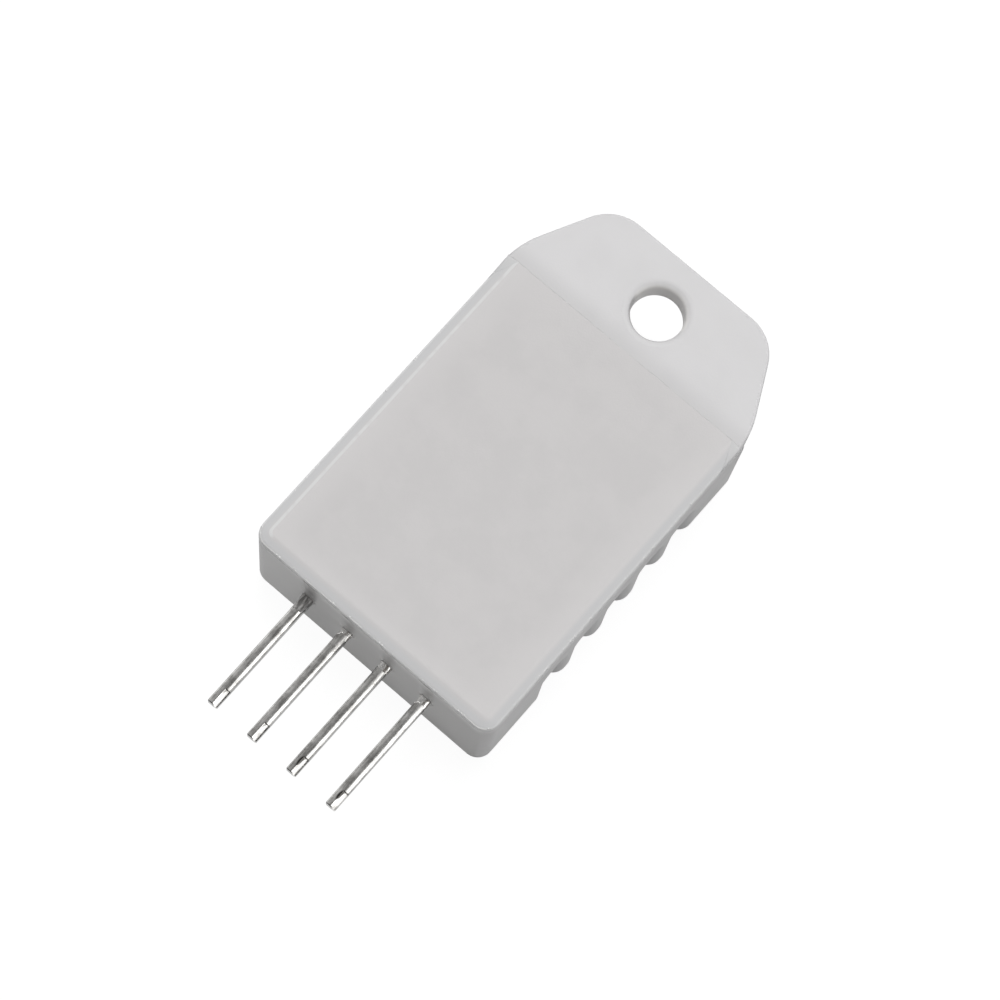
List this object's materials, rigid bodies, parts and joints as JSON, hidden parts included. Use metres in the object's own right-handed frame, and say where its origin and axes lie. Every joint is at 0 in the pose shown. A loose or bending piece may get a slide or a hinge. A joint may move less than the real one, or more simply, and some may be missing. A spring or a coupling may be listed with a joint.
{
  "type": "temperature humidity sensor module",
  "caption": "Temperature and humidity sensor module in a white case with a wrap-round grille, a mounting tab and a row of header pins.",
  "frame": {"origin": "under the middle of the whole length, pins and tab included, on the surface that the ribs of the grille rest on", "axes": "+X across the case, +Y along it from the pins to the mounting tab, +Z out of the plain back"},
  "size_m": [0.0152, 0.0318, 0.0077],
  "materials": {
    "case_plastic": "satin white moulded plastic",
    "cover_plastic": "matt white moulded plastic with a fine grain",
    "board_laminate": "green solder mask over glass laminate",
    "plate_ceramic": "white ceramic with printed comb electrodes",
    "leg_metal": "tinned legs",
    "bead_resin": "black dipped resin",
    "lead_wire": "tinned wire",
    "chip_resin": "black moulded resin",
    "chip_leads": "tinned lead frame",
    "capacitor_ceramic": "tan ceramic",
    "resistor_film": "black glazed film on ceramic",
    "end_cap_metal": "tinned end caps",
    "pin_metal": "tinned, lightly scratched",
    "sealant_resin": "greyish white sealing resin",
    "solder": "bright solder"
  },
  "bodies": {
    "root": {"back_cover": "cover_plastic", "capacitor_1_body": "capacitor_ceramic", "capacitor_1_end_caps": "end_cap_metal", "capacitor_2_body": "capacitor_ceramic", "capacitor_2_end_caps": "end_cap_metal", "circuit_board": "board_laminate", "controller_body": "chip_resin", "controller_leads": "chip_leads", "front_case": "case_plastic", "humidity_leg_1": "leg_metal", "humidity_leg_2": "leg_metal", "humidity_plate": "plate_ceramic", "pin_1": "pin_metal", "pin_2": "pin_metal", "pin_3": "pin_metal", "pin_4": "pin_metal", "pin_sealant_1": "sealant_resin", "pin_sealant_2": "sealant_resin", "pin_sealant_3": "sealant_resin", "pin_sealant_4": "sealant_resin", "pin_solder_1": "solder", "pin_solder_2": "solder", "pin_solder_3": "solder", "pin_solder_4": "solder", "resistor_1_body": "resistor_film", "resistor_1_end_caps": "end_cap_metal", "resistor_2_body": "resistor_film", "resistor_2_end_caps": "end_cap_metal", "thermistor_bead": "bead_resin", "thermistor_lead_1": "lead_wire", "thermistor_lead_2": "lead_wire"}
  },
  "joints": []
}
